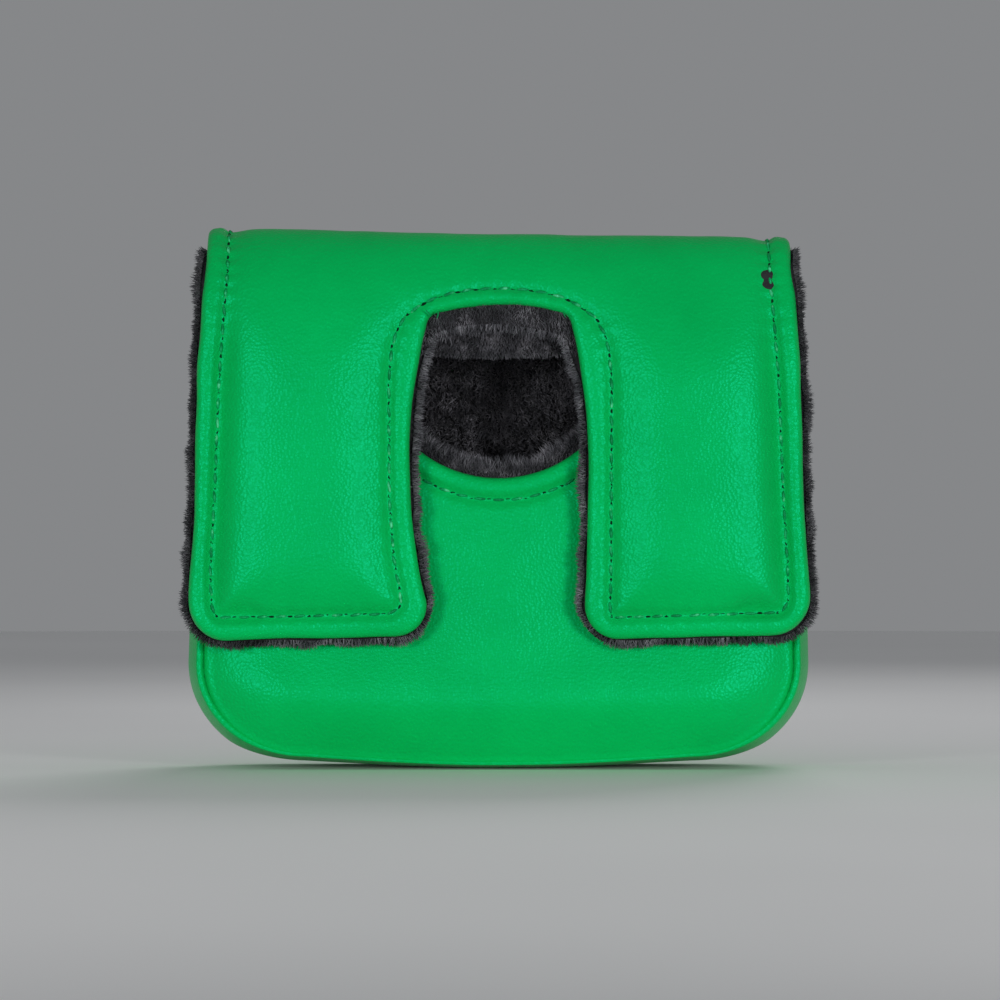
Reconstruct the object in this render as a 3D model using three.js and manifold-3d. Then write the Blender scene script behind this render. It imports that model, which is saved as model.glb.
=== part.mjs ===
// Padded head cover for a square mallet putter: a leather pouch with a plush lining, and a
// flap that runs from its back over the top and folds down over its front. The flap has a
// slot for the putter's shaft, and magnets in its two legs hold it to the pouch.
//
// Millimetres. +Z is up, the front faces -Y, and the origin is the middle of the footprint.
// Every wall has three layers: leather outside, foam, and plush inside.

import * as THREE from 'three';
import { mergeVertices } from 'three/addons/utils/BufferGeometryUtils.js';
import Module from 'manifold-3d';

// Whole cover
const HALF_DEPTH = 25;
const TOP = 121;
const GAP = 0.3; // clearance between pieces that touch

// The layers of a wall, from the outside in
const LEATHER = 1.6;
const FOAM = 2.6;
const PLUSH = 3.2;
const WALL = LEATHER + GAP + FOAM + GAP + PLUSH;
const FUR_EDGE = 2.2; // how far the pile stands out past a leather edge

// Pouch
const POUCH_FRONT = -16;
const POUCH_BACK = HALF_DEPTH;
const POUCH_HALF_WIDTH = 69.4;
const POUCH_TAPER = 0.03; // half width lost for each millimetre of height
const SOLE_FLAT = 20;
const CORNER_X = 44;
const CORNER_Z = 24;
const CORNER_LIFT = 2; // how much the sole has risen where its corner starts
const FRONT_TOP = 100;
const NECK_RADIUS = 29;
const NECK_BOTTOM = 66.2;
const NECK_CENTRE_Z = NECK_BOTTOM + NECK_RADIUS;
const FOAM_SETBACK = 2; // foam stops short of a turned leather edge

// Folds at the top. Each one hinges on the middle of its rounded leather, where the layers
// of the two walls meet at a mitre.
const FOLD_RADIUS = 4;
const FOLD_Z = TOP - FOLD_RADIUS;
const HINGE_INSET = FOLD_RADIUS * (1 - Math.SQRT1_2);
const HINGE_Y = HALF_DEPTH - HINGE_INSET;
const HINGE_Z = TOP - HINGE_INSET;

// Flap
const FLAP_TOP_HALF_WIDTH = 66;
const FLAP_MID_HALF_WIDTH = 68.2;
const FLAP_MID_Z = 85;
const FLAP_LOW_HALF_WIDTH = 69.6;
const FLAP_BOTTOM = 30;
const LEG_OUTER_RADIUS = 8.5;
const LEG_INNER_RADIUS = 7.5;
const SLOT_LOW_HALF_WIDTH = 18;
const SLOT_BELLY_HALF_WIDTH = 22.3;
const SLOT_TOP_HALF_WIDTH = 16.3;
const SLOT_TOP = 105;
const SLOT_TOP_RADIUS = 4.5;
const PLUSH_BELOW_SLOT_TOP = 7;

// Stitched rows
const STITCH_INSET = 5;
const THREAD_WIDTH = 0.8;
const THREAD_DEPTH = 0.6;
const GROOVE_WIDTH = THREAD_WIDTH + 2 * GAP;
const GROOVE_DEPTH = THREAD_DEPTH + GAP;
const SLOT_ROW_X = 25;
const SLOT_ROW_RADIUS = 12;
const ROW_CORNER = 3;

// Magnets, one in each leg and one behind each leg in the pouch
const MAGNET_RADIUS = 7;
const MAGNET_THICKNESS = 2;
const MAGNET_X = 45;
const MAGNET_Z = 47;

const CURVE_STEPS = 8;
const CUT = 100; // reaches past the cover on every side

const leather = new THREE.MeshStandardMaterial({ color: 0x00aa52, roughness: 0.45 });
const foam = new THREE.MeshStandardMaterial({ color: 0x3a3a3c, roughness: 0.95 });
const plush = new THREE.MeshStandardMaterial({ color: 0x2c2c2e, roughness: 1 });
const thread = new THREE.MeshStandardMaterial({ color: 0x12b866, roughness: 0.6 });
const magnet = new THREE.MeshStandardMaterial({ color: 0xc8c8cc, roughness: 0.25, metalness: 1 });

const wasm = await Module();
wasm.setup();

// ---- solids ----

function solidOf(geometry) {
  const bare = geometry.clone();
  bare.deleteAttribute('normal');
  bare.deleteAttribute('uv');
  const merged = mergeVertices(bare, 1e-4);
  return new wasm.Manifold(new wasm.Mesh({
    numProp: 3,
    vertProperties: new Float32Array(merged.attributes.position.array),
    triVerts: new Uint32Array(merged.index.array),
  }));
}

function geometryOf(solid) {
  const mesh = solid.getMesh();
  const geometry = new THREE.BufferGeometry();
  geometry.setAttribute('position', new THREE.BufferAttribute(mesh.vertProperties, 3));
  geometry.setIndex(new THREE.BufferAttribute(mesh.triVerts, 1));
  return geometry;
}

function cut(geometry, ...tools) {
  const start = solidOf(geometry);
  return geometryOf(tools.reduce((solid, tool) => solid.subtract(solidOf(tool)), start));
}

function common(first, second) {
  return geometryOf(solidOf(first).intersect(solidOf(second)));
}

// A shape drawn in x and z, made solid between two depths.
function plate(shape, yFront, yBack) {
  const options = { depth: yBack - yFront, bevelEnabled: false, curveSegments: CURVE_STEPS };
  const geometry = new THREE.ExtrudeGeometry(shape, options);
  geometry.rotateX(Math.PI / 2);
  geometry.translate(0, yBack, 0);
  return geometry;
}

// A shape drawn in y and z, made solid from -halfWidth to +halfWidth.
function slab(shape, halfWidth) {
  const options = { depth: 2 * halfWidth, bevelEnabled: false, curveSegments: CURVE_STEPS };
  const geometry = new THREE.ExtrudeGeometry(shape, options);
  const turn = new THREE.Matrix4().makeBasis(
    new THREE.Vector3(0, 1, 0),
    new THREE.Vector3(0, 0, 1),
    new THREE.Vector3(1, 0, 0),
  );
  geometry.applyMatrix4(turn);
  geometry.translate(-halfWidth, 0, 0);
  return geometry;
}

function block(x0, x1, y0, y1, z0, z1) {
  const geometry = new THREE.BoxGeometry(x1 - x0, y1 - y0, z1 - z0);
  geometry.translate((x0 + x1) / 2, (y0 + y1) / 2, (z0 + z1) / 2);
  return geometry;
}

// A band of even width along a path, with mitred corners.
function band(path, width) {
  const points = path.getPoints(CURVE_STEPS).filter(
    (point, i, all) => i === 0 || point.distanceTo(all[i - 1]) > 1e-3,
  );
  const offset = (side) => points.map((point, i) => {
    const before = points[Math.max(i - 1, 0)];
    const after = points[Math.min(i + 1, points.length - 1)];
    const arriving = point.clone().sub(before).normalize();
    const leaving = after.clone().sub(point).normalize();
    const along = arriving.clone().add(leaving).normalize();
    const straight = arriving.lengthSq() ? arriving : leaving;
    const reach = (side * width) / 2 / Math.max(along.dot(straight), 0.3);
    return new THREE.Vector2(point.x - along.y * reach, point.y + along.x * reach);
  });
  return new THREE.Shape([...offset(1), ...offset(-1).reverse()]);
}

// ---- outlines ----

function pouchSide(z, inset) {
  return POUCH_HALF_WIDTH - inset - Math.max(z - CORNER_Z, 0) * POUCH_TAPER;
}

// Draws the pouch's right side, corner, sole, left corner and left side, from top to top.
function tracePouch(path, top, inset) {
  const rx = POUCH_HALF_WIDTH - CORNER_X - inset;
  const rz = CORNER_Z - CORNER_LIFT - inset;
  path.lineTo(pouchSide(CORNER_Z, inset), CORNER_Z);
  path.absellipse(CORNER_X, CORNER_Z, rx, rz, 0, -Math.PI / 2, true);
  path.lineTo(SOLE_FLAT, inset);
  path.lineTo(-SOLE_FLAT, inset);
  path.lineTo(-CORNER_X, CORNER_LIFT + inset);
  path.absellipse(-CORNER_X, CORNER_Z, rx, rz, -Math.PI / 2, -Math.PI, true);
  path.lineTo(-pouchSide(top, inset), top);
}

function panelShape(top, inset) {
  const shape = new THREE.Shape();
  shape.moveTo(pouchSide(top, inset), top);
  tracePouch(shape, top, inset);
  return shape;
}

// The front panel, with the neck scooped out of its top edge.
function neckedShape(top, inset, neckRadius) {
  const shape = panelShape(top, inset);
  shape.lineTo(-neckRadius, top);
  shape.lineTo(-neckRadius, NECK_CENTRE_Z);
  shape.absarc(0, NECK_CENTRE_Z, neckRadius, Math.PI, 2 * Math.PI, false);
  shape.lineTo(neckRadius, top);
  return shape;
}

// A U-shaped strip that runs down one side of the pouch, under it and up the other side.
function gussetShape(outerInset, innerInset) {
  const shape = panelShape(FRONT_TOP, outerInset);
  const inner = new THREE.Path();
  inner.moveTo(pouchSide(FRONT_TOP, innerInset), FRONT_TOP);
  tracePouch(inner, FRONT_TOP, innerInset);
  const back = inner.getPoints(CURVE_STEPS).reverse();
  back.forEach((point) => shape.lineTo(point.x, point.y));
  return shape;
}

// The front of the flap. Grow moves every free edge outward, as the pile stands out.
function flapShape(grow, slotTop) {
  const bottom = FLAP_BOTTOM - grow;
  const outerRadius = LEG_OUTER_RADIUS + grow;
  const innerRadius = LEG_INNER_RADIUS + grow;
  const low = FLAP_LOW_HALF_WIDTH + grow;
  const slotLow = SLOT_LOW_HALF_WIDTH - grow;
  const slotBelly = SLOT_BELLY_HALF_WIDTH - grow;
  const slotHigh = SLOT_TOP_HALF_WIDTH - grow;
  const shoulder = slotTop - SLOT_TOP_RADIUS;
  const bellyZ = (bottom + slotTop) / 2;
  const shape = new THREE.Shape();
  shape.moveTo(FLAP_TOP_HALF_WIDTH + grow, TOP);
  shape.lineTo(FLAP_TOP_HALF_WIDTH + grow, FOLD_Z);
  shape.lineTo(FLAP_MID_HALF_WIDTH + grow, FLAP_MID_Z);
  shape.lineTo(low, bottom + outerRadius);
  shape.absarc(low - outerRadius, bottom + outerRadius, outerRadius, 0, -Math.PI / 2, true);
  shape.absarc(slotLow + innerRadius, bottom + innerRadius, innerRadius, -Math.PI / 2, -Math.PI, true);
  shape.quadraticCurveTo(slotBelly, bellyZ, slotHigh, shoulder);
  shape.absarc(slotHigh - SLOT_TOP_RADIUS, shoulder, SLOT_TOP_RADIUS, 0, Math.PI / 2, false);
  shape.absarc(SLOT_TOP_RADIUS - slotHigh, shoulder, SLOT_TOP_RADIUS, Math.PI / 2, Math.PI, false);
  shape.quadraticCurveTo(-slotBelly, bellyZ, -slotLow, bottom + innerRadius);
  shape.absarc(-slotLow - innerRadius, bottom + innerRadius, innerRadius, 0, -Math.PI / 2, true);
  shape.absarc(outerRadius - low, bottom + outerRadius, outerRadius, -Math.PI / 2, -Math.PI, true);
  shape.lineTo(-FLAP_MID_HALF_WIDTH - grow, FLAP_MID_Z);
  shape.lineTo(-FLAP_TOP_HALF_WIDTH - grow, FOLD_Z);
  shape.lineTo(-FLAP_TOP_HALF_WIDTH - grow, TOP);
  return shape;
}

function punch(shape) {
  for (const side of [-1, 1]) {
    const hole = new THREE.Path();
    hole.absarc(side * MAGNET_X, MAGNET_Z, MAGNET_RADIUS + GAP, 0, 2 * Math.PI, false);
    shape.holes.push(hole);
  }
  return shape;
}

// ---- stitched rows ----

// One row that follows the flap's free edge, down each leg and round the slot.
function flapRow() {
  const outer = FLAP_LOW_HALF_WIDTH - STITCH_INSET;
  const low = FLAP_BOTTOM + STITCH_INSET;
  const high = SLOT_TOP + STITCH_INSET;
  const row = new THREE.Path();
  row.moveTo(FLAP_TOP_HALF_WIDTH - STITCH_INSET, FOLD_Z - GAP);
  row.lineTo(FLAP_MID_HALF_WIDTH - STITCH_INSET, FLAP_MID_Z);
  row.lineTo(outer, low + ROW_CORNER);
  row.absarc(outer - ROW_CORNER, low + ROW_CORNER, ROW_CORNER, 0, -Math.PI / 2, true);
  row.absarc(SLOT_ROW_X + ROW_CORNER, low + ROW_CORNER, ROW_CORNER, -Math.PI / 2, -Math.PI, true);
  row.absarc(SLOT_ROW_X - SLOT_ROW_RADIUS, high - SLOT_ROW_RADIUS, SLOT_ROW_RADIUS, 0, Math.PI / 2, false);
  row.absarc(SLOT_ROW_RADIUS - SLOT_ROW_X, high - SLOT_ROW_RADIUS, SLOT_ROW_RADIUS, Math.PI / 2, Math.PI, false);
  row.absarc(-SLOT_ROW_X - ROW_CORNER, low + ROW_CORNER, ROW_CORNER, 0, -Math.PI / 2, true);
  row.absarc(ROW_CORNER - outer, low + ROW_CORNER, ROW_CORNER, -Math.PI / 2, -Math.PI, true);
  row.lineTo(STITCH_INSET - FLAP_MID_HALF_WIDTH, FLAP_MID_Z);
  row.lineTo(STITCH_INSET - FLAP_TOP_HALF_WIDTH, FOLD_Z - GAP);
  return row;
}

function neckRow() {
  const radius = NECK_RADIUS + STITCH_INSET;
  const high = FRONT_TOP - STITCH_INSET;
  const end = pouchSide(high, 2 * STITCH_INSET);
  const start = Math.asin((NECK_CENTRE_Z - high) / radius);
  const row = new THREE.Path();
  row.moveTo(-end, high);
  row.absarc(0, NECK_CENTRE_Z, radius, Math.PI + start, 2 * Math.PI - start, false);
  row.lineTo(end, high);
  return row;
}

function backRow() {
  const row = new THREE.Path();
  row.moveTo(pouchSide(FOLD_Z, STITCH_INSET), FOLD_Z - GAP);
  tracePouch(row, FOLD_Z - GAP, STITCH_INSET);
  return row;
}

// The thread of a row sewn through a leather face, and the groove it has pulled into it.
function sewnRow(path, faceY, inward) {
  const near = (depth) => Math.min(faceY, faceY + inward * depth);
  const far = (depth) => Math.max(faceY, faceY + inward * depth);
  return {
    thread: plate(band(path, THREAD_WIDTH), near(THREAD_DEPTH), far(THREAD_DEPTH)),
    groove: plate(band(path, GROOVE_WIDTH), near(GROOVE_DEPTH), far(GROOVE_DEPTH)),
  };
}

// ---- the wrap of front, top and back, in y and z ----

// Draws the wrap at one depth below the outer face, from front to back, with round folds
// where the depth leaves them a radius.
function traceWrap(path, depth, order) {
  const side = HALF_DEPTH - depth;
  const radius = Math.max(FOLD_RADIUS - depth, 0);
  const corner = { y: side - radius, z: TOP - depth - radius };
  path.lineTo(-order * side, 0);
  path.lineTo(-order * side, corner.z);
  if (radius > 0) {
    const start = order > 0 ? Math.PI : 0;
    const end = order > 0 ? 0 : Math.PI;
    path.absarc(-order * corner.y, corner.z, radius, start, Math.PI / 2, order > 0);
    path.absarc(order * corner.y, corner.z, radius, Math.PI / 2, end, order > 0);
  } else {
    path.lineTo(order * side, corner.z);
  }
  path.lineTo(order * side, 0);
}

// One layer of the wrap, from one depth to another.
function wrapShape(from, to) {
  const shape = new THREE.Shape();
  shape.moveTo(-HALF_DEPTH + from, 0);
  traceWrap(shape, from, 1);
  traceWrap(shape, to, -1);
  return shape;
}

// Everything on the wall's own side of its mitres, less half of the gap.
function wallSector(wall) {
  const trim = GAP * Math.SQRT1_2;
  const foot = HINGE_Z - HINGE_Y;
  const shape = new THREE.Shape();
  if (wall === 'top') {
    shape.moveTo(0, foot + trim);
    shape.lineTo(CUT, foot + CUT + trim);
    shape.lineTo(-CUT, foot + CUT + trim);
    return shape;
  }
  const side = wall === 'back' ? 1 : -1;
  shape.moveTo(0, foot - trim);
  shape.lineTo(side * CUT, foot + CUT - trim);
  shape.lineTo(side * CUT, -CUT);
  shape.lineTo(0, -CUT);
  return shape;
}

// One layer of one wall of the wrap, as wide as halfWidth each way.
function wallLayer(wall, from, to, halfWidth) {
  return common(slab(wrapShape(from, to), halfWidth), slab(wallSector(wall), CUT));
}

// ---- assembly ----

function add(group, name, geometry, material) {
  const mesh = new THREE.Mesh(geometry, material);
  mesh.name = name;
  group.add(mesh);
  return mesh;
}

function addMagnets(group, owner, y) {
  for (const [side, word] of [[-1, 'left'], [1, 'right']]) {
    const geometry = new THREE.CylinderGeometry(MAGNET_RADIUS, MAGNET_RADIUS, MAGNET_THICKNESS, 24);
    const disc = add(group, `${word}_${owner}_magnet`, geometry, magnet);
    disc.position.set(side * MAGNET_X, y, MAGNET_Z);
  }
}

function buildPouch() {
  const group = new THREE.Group();
  const foamInset = LEATHER + GAP;
  const plushInset = foamInset + FOAM + GAP;
  const foamFront = POUCH_FRONT + LEATHER + GAP;
  const plushFront = foamFront + FOAM + GAP;
  const foamBack = POUCH_BACK - LEATHER - GAP - FOAM;
  const seam = THREAD_WIDTH + 2 * GAP; // room for a seam's thread between two panels

  const neck = sewnRow(neckRow(), POUCH_FRONT, 1);
  const frontSkin = plate(neckedShape(FRONT_TOP, 0, NECK_RADIUS), POUCH_FRONT, POUCH_FRONT + LEATHER);
  const frontFoam = punch(neckedShape(FRONT_TOP - FOAM_SETBACK, foamInset, NECK_RADIUS + FOAM_SETBACK));
  const frontPlush = neckedShape(FRONT_TOP, plushInset, NECK_RADIUS - FUR_EDGE);
  add(group, 'front_panel_leather', cut(frontSkin, neck.groove), leather);
  add(group, 'front_panel_foam', plate(frontFoam, foamFront, foamFront + FOAM), foam);
  add(group, 'front_panel_plush', plate(frontPlush, plushFront, plushFront + PLUSH), plush);
  add(group, 'neck_topstitch', neck.thread, thread);
  addMagnets(group, 'pouch', foamFront + FOAM / 2);

  const back = sewnRow(backRow(), POUCH_BACK, -1);
  const backLayer = (from, to, inset) => common(
    wallLayer('back', from, to, CUT),
    plate(panelShape(TOP, inset), 0, CUT),
  );
  const backSkin = backLayer(0, LEATHER, 0);
  add(group, 'back_panel_leather', cut(backSkin, back.groove), leather);
  add(group, 'back_panel_foam', backLayer(foamInset, foamInset + FOAM, foamInset), foam);
  add(group, 'back_panel_plush', backLayer(plushInset, WALL, plushInset), plush);
  add(group, 'back_panel_topstitch', back.thread, thread);

  const sideFront = POUCH_FRONT + LEATHER;
  const sideBack = POUCH_BACK - LEATHER;
  const frontSeam = gussetShape(GAP, GAP + THREAD_WIDTH);
  const gussetPlush = gussetShape(plushInset, plushInset + PLUSH);
  add(group, 'gusset_leather', plate(gussetShape(0, LEATHER), sideFront + seam, sideBack - seam), leather);
  add(group, 'gusset_foam', plate(gussetShape(foamInset, foamInset + FOAM), plushFront, foamBack - GAP), foam);
  add(group, 'gusset_plush', plate(gussetPlush, plushFront + PLUSH + GAP, POUCH_BACK - WALL - GAP), plush);
  add(group, 'front_seam_stitching', plate(frontSeam, sideFront + GAP, sideFront + seam - GAP), thread);
  add(group, 'rear_seam_stitching', plate(frontSeam, sideBack - seam + GAP, sideBack - GAP), thread);
  return group;
}

function buildFlapTop() {
  const group = new THREE.Group();
  const foamDepth = LEATHER + GAP;
  const plushDepth = foamDepth + FOAM + GAP;
  const rowX = FLAP_TOP_HALF_WIDTH - STITCH_INSET;
  const rowEnd = HALF_DEPTH - FOLD_RADIUS;
  const rows = [[-1, 'left'], [1, 'right']];

  const grooves = rows.map(([side]) => block(
    side * rowX - GROOVE_WIDTH / 2,
    side * rowX + GROOVE_WIDTH / 2,
    -rowEnd - GAP,
    rowEnd + GAP,
    TOP - GROOVE_DEPTH,
    TOP + CUT,
  ));
  const skin = wallLayer('top', 0, LEATHER, FLAP_TOP_HALF_WIDTH);
  const padding = wallLayer('top', foamDepth, foamDepth + FOAM, FLAP_TOP_HALF_WIDTH - FOAM_SETBACK);
  const lining = wallLayer('top', plushDepth, WALL, FLAP_TOP_HALF_WIDTH + FUR_EDGE);
  add(group, 'flap_top_leather', cut(skin, ...grooves), leather);
  add(group, 'flap_top_foam', padding, foam);
  add(group, 'flap_top_plush', lining, plush);
  for (const [side, word] of rows) {
    const x0 = side * rowX - THREAD_WIDTH / 2;
    const row = block(x0, x0 + THREAD_WIDTH, -rowEnd, rowEnd, TOP - THREAD_DEPTH, TOP);
    add(group, `flap_top_${word}_topstitch`, row, thread);
  }
  return group;
}

function buildFlapFront() {
  const group = new THREE.Group();
  const foamDepth = LEATHER + GAP;
  const plushDepth = foamDepth + FOAM + GAP;
  const row = sewnRow(flapRow(), -HALF_DEPTH, 1);

  const layer = (from, to, shape) => common(wallLayer('front', from, to, CUT), plate(shape, -CUT, 0));
  const skin = layer(0, LEATHER, flapShape(0, SLOT_TOP));
  const foamShape = punch(flapShape(-FOAM_SETBACK, SLOT_TOP + FOAM_SETBACK));
  const plushShape = flapShape(FUR_EDGE, SLOT_TOP - PLUSH_BELOW_SLOT_TOP);
  add(group, 'flap_front_leather', cut(skin, row.groove), leather);
  add(group, 'flap_front_foam', layer(foamDepth, foamDepth + FOAM, foamShape), foam);
  add(group, 'flap_front_plush', layer(plushDepth, WALL, plushShape), plush);
  add(group, 'flap_front_topstitch', row.thread, thread);
  addMagnets(group, 'flap', -HALF_DEPTH + foamDepth + FOAM / 2);
  return group;
}

const headCover = new THREE.Group();
headCover.add(buildPouch(), buildFlapTop(), buildFlapFront());

export default headCover;
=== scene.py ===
import math

import bpy
import numpy as np
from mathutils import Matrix, Vector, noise
from mathutils.geometry import delaunay_2d_cdt


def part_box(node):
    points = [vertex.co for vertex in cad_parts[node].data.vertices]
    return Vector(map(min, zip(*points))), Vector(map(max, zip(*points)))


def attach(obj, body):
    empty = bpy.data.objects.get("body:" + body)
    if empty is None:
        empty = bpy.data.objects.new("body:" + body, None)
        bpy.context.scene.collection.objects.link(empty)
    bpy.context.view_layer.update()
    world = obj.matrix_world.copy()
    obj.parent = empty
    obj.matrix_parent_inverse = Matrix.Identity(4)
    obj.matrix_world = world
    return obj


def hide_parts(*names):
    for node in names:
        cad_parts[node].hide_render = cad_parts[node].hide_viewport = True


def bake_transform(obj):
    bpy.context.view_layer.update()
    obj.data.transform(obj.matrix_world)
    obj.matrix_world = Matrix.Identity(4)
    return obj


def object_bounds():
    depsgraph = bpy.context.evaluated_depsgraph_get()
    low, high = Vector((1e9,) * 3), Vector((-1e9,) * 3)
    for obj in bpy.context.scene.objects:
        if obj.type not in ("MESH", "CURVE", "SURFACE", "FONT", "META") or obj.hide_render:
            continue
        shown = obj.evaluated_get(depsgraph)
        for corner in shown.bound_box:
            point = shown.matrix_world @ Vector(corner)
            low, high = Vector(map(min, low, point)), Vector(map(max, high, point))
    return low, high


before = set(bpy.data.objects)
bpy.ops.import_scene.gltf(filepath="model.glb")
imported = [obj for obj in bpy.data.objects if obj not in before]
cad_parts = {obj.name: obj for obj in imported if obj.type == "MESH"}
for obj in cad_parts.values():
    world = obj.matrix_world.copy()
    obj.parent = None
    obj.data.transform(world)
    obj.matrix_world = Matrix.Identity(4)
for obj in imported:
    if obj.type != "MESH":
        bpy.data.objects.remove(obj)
cad_low, cad_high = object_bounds()

# Lengths in this script are in millimetres, and meshes are made in metres.
MM = 0.001
HALF_DEPTH = cad_high.y / MM
TOP = cad_high.z / MM
FRONT_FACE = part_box("front_panel_leather")[0].y / MM
PANEL_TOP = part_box("front_panel_leather")[1].z / MM
POUCH_HALF_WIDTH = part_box("front_panel_leather")[1].x / MM
FLAP_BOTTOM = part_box("flap_front_leather")[0].z / MM
CAVITY_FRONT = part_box("front_panel_plush")[1].y / MM
CAVITY_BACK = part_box("gusset_plush")[1].y / MM

FOLD = 14.0           # radius of the padded folds, measured on the leather
EDGE_ROLL = 1.7       # radius of a turned leather edge
STITCH_INSET = 5.0
PITCH = 4.2           # from one stitch to the next
STITCH_END = 0.75     # from a stitch's end to the middle of its needle hole
HOLE_LENGTH = 0.8     # half the length of a needle hole's oval, and half its width
HOLE_WIDTH = 0.4
GRID = 0.85
SEED = 7

rng = np.random.default_rng(SEED)


# ---------------------------------------------------------------- outlines

def rounded(corners, step=0.8):
    """A polyline through corners of (x, v, radius), each turned by an arc of its radius."""
    out = []
    for i, (x, v, radius) in enumerate(corners):
        p = np.array([x, v], float)
        if radius == 0 or i in (0, len(corners) - 1):
            out.append(p)
            continue
        a = np.array(corners[i - 1][:2], float) - p
        b = np.array(corners[i + 1][:2], float) - p
        a /= np.linalg.norm(a)
        b /= np.linalg.norm(b)
        half = math.acos(np.clip(a @ b, -1, 1)) / 2
        reach = radius / math.tan(half)
        centre = p + (a + b) / np.linalg.norm(a + b) * radius / math.sin(half)
        start = p + a * reach - centre
        end = p + b * reach - centre
        turn = math.atan2(start[0] * end[1] - start[1] * end[0], start @ end)
        count = max(3, int(abs(turn) * radius / step))
        for k in range(count + 1):
            c, s = math.cos(turn * k / count), math.sin(turn * k / count)
            out.append(centre + np.array([start[0] * c - start[1] * s, start[0] * s + start[1] * c]))
    return out


def bezier(p0, p1, p2, p3, count=24):
    t = np.linspace(0, 1, count + 1)[:, None]
    p0, p1, p2, p3 = (np.array(p, float) for p in (p0, p1, p2, p3))
    curve = (1 - t) ** 3 * p0 + 3 * (1 - t) ** 2 * t * p1 + 3 * (1 - t) * t * t * p2 + t ** 3 * p3
    return list(curve)


def arc(cx, cz, rx, rz, a0, a1, count=24):
    angles = np.radians(np.linspace(a0, a1, count + 1))
    return [np.array([cx + rx * math.cos(a), cz + rz * math.sin(a)]) for a in angles]


def resample(points, step):
    points = np.array(points, float)
    gaps = np.linalg.norm(np.diff(points, axis=0), axis=1)
    keep = np.concatenate([[True], gaps > 1e-6])
    points = points[keep]
    along = np.concatenate([[0], np.cumsum(np.linalg.norm(np.diff(points, axis=0), axis=1))])
    count = max(2, int(round(along[-1] / step)))
    wanted = np.linspace(0, along[-1], count + 1)
    return np.stack([np.interp(wanted, along, points[:, k]) for k in range(2)], axis=1)


def side_normals(points):
    """Unit normals to the left of an open polyline."""
    tangent = np.gradient(points, axis=0)
    tangent /= np.linalg.norm(tangent, axis=1)[:, None]
    return np.stack([-tangent[:, 1], tangent[:, 0]], axis=1)


def wavy(path, amount, scale):
    """The path, resampled, wandering a little to either side except at its ends."""
    path = resample(path, 0.8)
    ends = smooth(np.minimum(np.arange(len(path)), np.arange(len(path))[::-1]) / 30)
    return path + side_normals(path) * (amount * ends * waves(path[:, 0], path[:, 1], scale, 0.7))[:, None]


def distance_to(points, path):
    """Distance from each point to an open polyline, and how far along it the nearest point lies."""
    a, b = path[:-1], path[1:]
    d = b - a
    length = np.linalg.norm(d, axis=1)
    start = np.concatenate([[0], np.cumsum(length)[:-1]])
    best = np.full(len(points), 1e9)
    along = np.zeros(len(points))
    for k in range(0, len(points), 4000):
        p = points[k:k + 4000, None, :] - a[None]
        t = np.clip((p * d).sum(2) / np.maximum(length ** 2, 1e-12), 0, 1)
        gap = np.linalg.norm(p - t[..., None] * d[None], axis=2)
        nearest = gap.argmin(1)
        rows = np.arange(len(gap))
        best[k:k + 4000] = gap[rows, nearest]
        along[k:k + 4000] = start[nearest] + t[rows, nearest] * length[nearest]
    return best, along


def soft_distance(points, path):
    """Distance to an open polyline without the creases halfway between its sides."""
    path = resample(path, 1.0)
    out = np.empty(len(points))
    for k in range(0, len(points), 4000):
        square = ((points[k:k + 4000, None, :] - path[None]) ** 2).sum(2)
        out[k:k + 4000] = (((square + 0.25) ** -3).sum(1) / 1.178) ** -0.2
    return out


def inside(points, polygon):
    x, y = points[:, 0], points[:, 1]
    result = np.zeros(len(points), bool)
    for (x0, y0), (x1, y1) in zip(polygon, np.roll(polygon, -1, axis=0)):
        crosses = (y0 > y) != (y1 > y)
        if y0 != y1:
            result ^= crosses & (x < (x1 - x0) * (y - y0) / (y1 - y0) + x0)
    return result


def smooth(t):
    t = np.clip(t, 0, 1)
    return t * t * (3 - 2 * t)


def waves(x, v, scale, seed):
    """Smooth noise from -1 to 1 over a sheet."""
    return np.array([noise.noise(Vector((a / scale, b / scale, seed))) for a, b in zip(x, v)])


# ---------------------------------------------------------------- surfaces

class Wrap:
    """The sheet that goes up the front, over the top and down the back. x runs across, v up the front, where it
    is the height, and on over the folds, and h stands out of the sheet."""

    def __init__(self, depth, radius):
        self.side = HALF_DEPTH - depth
        self.top = TOP - depth
        self.radius = radius
        self.turn = radius * math.pi / 2
        self.flat = 2 * (self.side - radius)
        self.v1 = self.top - radius
        self.v2 = self.v1 + self.turn
        self.v3 = self.v2 + self.flat
        self.v4 = self.v3 + self.turn
        self.middle = (self.v2 + self.v3) / 2
        self.end = self.v4 + self.v1

    def point(self, x, v, h):
        x, v, h = np.broadcast_arrays(np.asarray(x, float), np.asarray(v, float), np.asarray(h, float))
        angle = np.clip((v - self.v1) / self.turn, 0, 1) + np.clip((v - self.v3) / self.turn, 0, 1)
        angle = np.pi - angle * np.pi / 2
        ny, nz = np.cos(angle), np.sin(angle)
        back = v > self.middle
        cy = np.where(back, self.side - self.radius, self.radius - self.side)
        reach = self.radius + h
        y, z = cy + ny * reach, self.v1 + nz * reach
        z = np.where(v < self.v1, v, z)
        y = np.where((v >= self.v2) & (v <= self.v3), v - self.v2 - self.flat / 2, y)
        z = np.where(v > self.v4, self.v1 - (v - self.v4), z)
        return np.stack([x, y, z], axis=-1)

    def normal(self, x, v):
        return self.point(x, v, 1.0) - self.point(x, v, 0.0)

    def back_v(self, z):
        return self.v4 + self.v1 - z


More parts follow.
